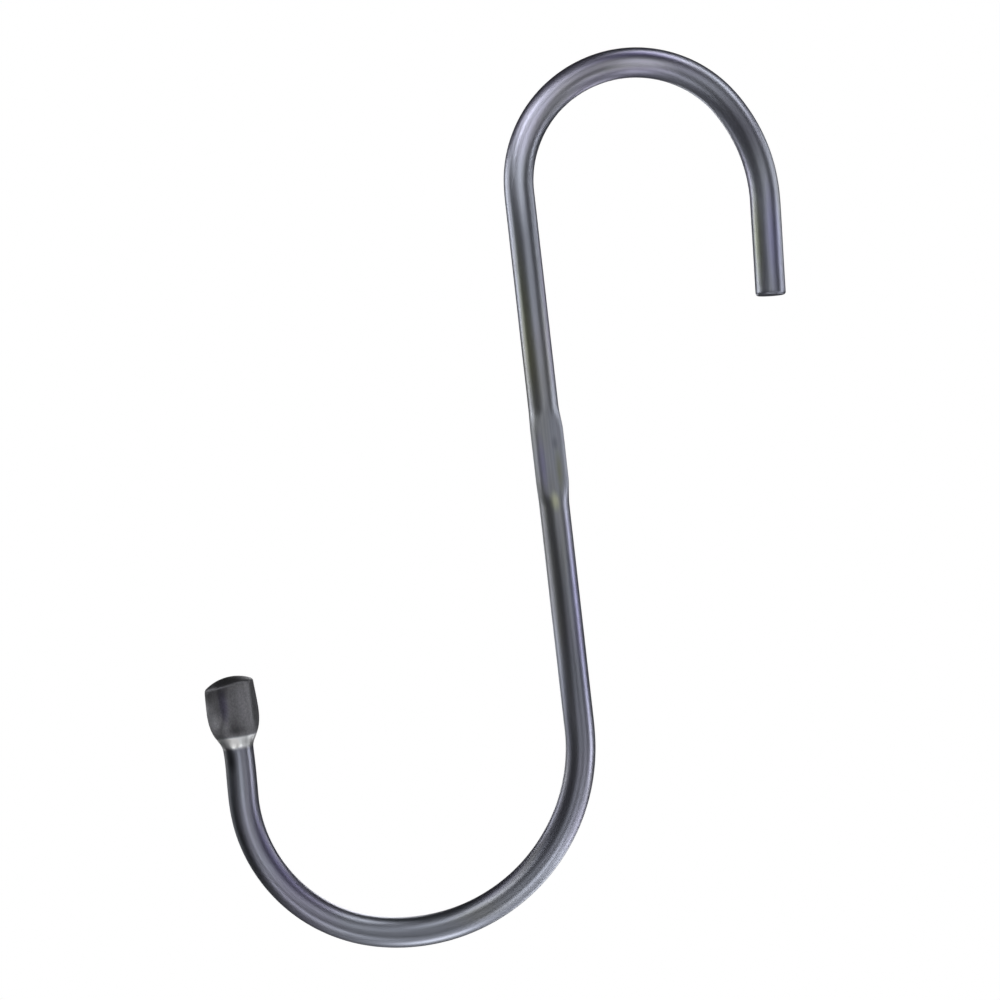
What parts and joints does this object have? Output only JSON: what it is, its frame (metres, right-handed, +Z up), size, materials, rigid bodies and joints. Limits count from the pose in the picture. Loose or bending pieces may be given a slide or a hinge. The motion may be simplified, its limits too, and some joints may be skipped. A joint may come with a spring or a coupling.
{
  "type": "paint bucket hook",
  "caption": "S-shaped steel rod hook that hangs a paint bucket from a ladder rung, with a knob on the big hook's end that keeps the bail from sliding off.",
  "frame": {"origin": "where the rung touches the inside of the small hook, at the top of its bend", "axes": "+Z up along the straight shank, +X from the shank towards the small hook's plain arm, the hook's plane is XZ and the stamping flat is on the -Y side"},
  "size_m": [0.1305, 0.011, 0.1811],
  "materials": {
    "zinc_steel": "drawn round rod with dull bluish zinc plating, darker and rougher on the knob"
  },
  "bodies": {
    "root": {"hook": "zinc_steel"}
  },
  "joints": []
}
